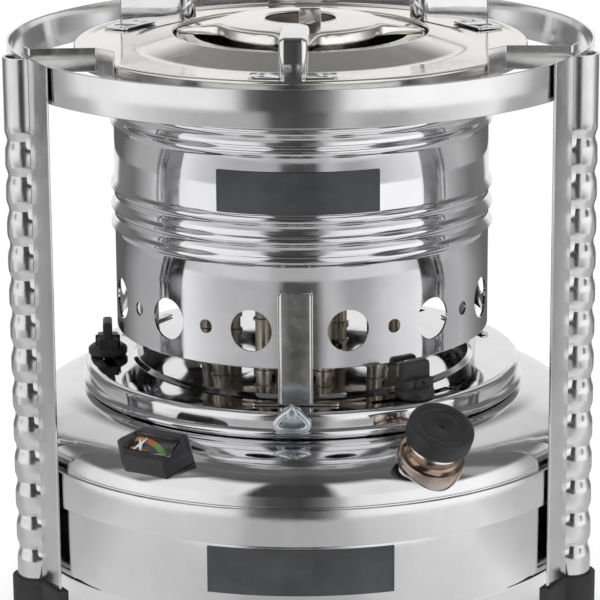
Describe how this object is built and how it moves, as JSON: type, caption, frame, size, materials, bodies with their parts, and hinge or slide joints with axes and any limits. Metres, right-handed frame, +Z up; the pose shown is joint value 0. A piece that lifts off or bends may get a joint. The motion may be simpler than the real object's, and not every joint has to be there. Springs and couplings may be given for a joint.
{
  "type": "kerosene wick stove",
  "caption": "Round kerosene wick cooking stove: steel fuel tank with filler cap and level gauge, burner drum with wicks, pan supports, band rings and dented channel legs on rubber feet.",
  "frame": {"origin": "on the floor, in the middle of the outer box of the stove", "axes": "+Z up, -Y towards the front with the ring pull, the front pan support and the filler cap at its right"},
  "size_m": [0.29, 0.3026, 0.2944],
  "materials": {
    "polished_steel": "mirror-polished stainless steel",
    "plate_steel": "polished stainless steel, creamy in reflection",
    "blue_zinc": "blue-white zinc plating",
    "dull_tube": "dull metal",
    "black_plastic": "satin black",
    "black_rubber": "matt black",
    "cotton_wick": "woven cotton",
    "clear_window": "clear",
    "gauge_scale": "printed colour bands",
    "white_pointer": "satin white",
    "float_foam": "cork"
  },
  "bodies": {
    "stove": {"bracket_left": "polished_steel", "bracket_rear": "polished_steel", "bracket_right": "polished_steel", "burner_drum": "polished_steel", "burner_stage": "polished_steel", "drum_plate": "black_plastic", "drum_strap_front": "polished_steel", "drum_strap_left": "polished_steel", "drum_strap_right": "polished_steel", "filler_neck": "polished_steel", "foot_left": "black_rubber", "foot_rear": "black_rubber", "foot_right": "black_rubber", "gauge_dial": "gauge_scale", "gauge_housing": "black_plastic", "gauge_window": "clear_window", "inner_sleeve": "polished_steel", "leg_left": "polished_steel", "leg_rear": "polished_steel", "leg_right": "polished_steel", "lower_ring": "polished_steel", "outer_sleeve": "polished_steel", "pan_support_front": "polished_steel", "pan_support_left": "polished_steel", "pan_support_right": "polished_steel", "pull_lug": "blue_zinc", "tank_body": "polished_steel", "tank_plate": "black_plastic", "tank_top": "polished_steel", "top_plate": "plate_steel", "upper_ring": "polished_steel", "wick_tubes": "dull_tube"},
    "cap_gasket_body": {"cap_gasket": "black_rubber"},
    "cap_body": {"filler_cap": "black_plastic"},
    "regulator_body": {"control_ring": "polished_steel", "regulator_knob_1": "black_plastic", "regulator_knob_2": "black_plastic", "regulator_knob_3": "black_plastic"},
    "wick_body": {"wick_carrier": "blue_zinc", "wick_01": "cotton_wick", "wick_02": "cotton_wick", "wick_03": "cotton_wick", "wick_04": "cotton_wick", "wick_05": "cotton_wick", "wick_06": "cotton_wick", "wick_07": "cotton_wick", "wick_08": "cotton_wick", "wick_09": "cotton_wick", "wick_10": "cotton_wick"},
    "gauge_body": {"gauge_pointer": "white_pointer", "float_arm": "blue_zinc", "gauge_float": "float_foam"},
    "spreader_body": {"flame_spreader": "plate_steel"},
    "pull_body": {"ring_pull": "blue_zinc"}
  },
  "joints": [
    {"name": "cap_rise", "type": "slide", "parent": "stove", "child": "cap_gasket_body", "axis": [0.2311, -0.4536, 0.8607], "range_m": [0, 0.005]},
    {"name": "cap_turn", "type": "hinge", "parent": "cap_gasket_body", "child": "cap_body", "pos_m": [0.06006, -0.12413, 0.09562], "axis": [0.2311, -0.4536, 0.8607], "range_deg": [0, 720]},
    {"name": "regulator_turn", "type": "hinge", "parent": "stove", "child": "regulator_body", "pos_m": [0, -0.00625, 0.1023], "axis": [0, 0, 1], "range_deg": [-12, 12]},
    {"name": "wick_lift", "type": "slide", "parent": "stove", "child": "wick_body", "axis": [0, 0, 1], "range_m": [-0.003, 0.003]},
    {"name": "fuel_gauge", "type": "hinge", "parent": "stove", "child": "gauge_body", "pos_m": [-0.0762, -0.1131, 0.09636], "axis": [-0.2512, -0.402, 0.8805], "range_deg": [0, 60]},
    {"name": "spreader_turn", "type": "hinge", "parent": "stove", "child": "spreader_body", "pos_m": [0, -0.00625, 0.2849], "axis": [0, 0, 1], "range_deg": [-45, 45]},
    {"name": "ring_swing", "type": "hinge", "parent": "stove", "child": "pull_body", "pos_m": [-0.00515, -0.11963, 0.1166], "axis": [-0.0454, -0.999, 0], "range_deg": [-40, 40]}
  ],
  "couplings": [
    {"joint": "cap_rise", "follows": "cap_turn", "m_per_rad": 0.00039788},
    {"joint": "wick_lift", "follows": "regulator_turn", "m_per_rad": 0.01432}
  ]
}
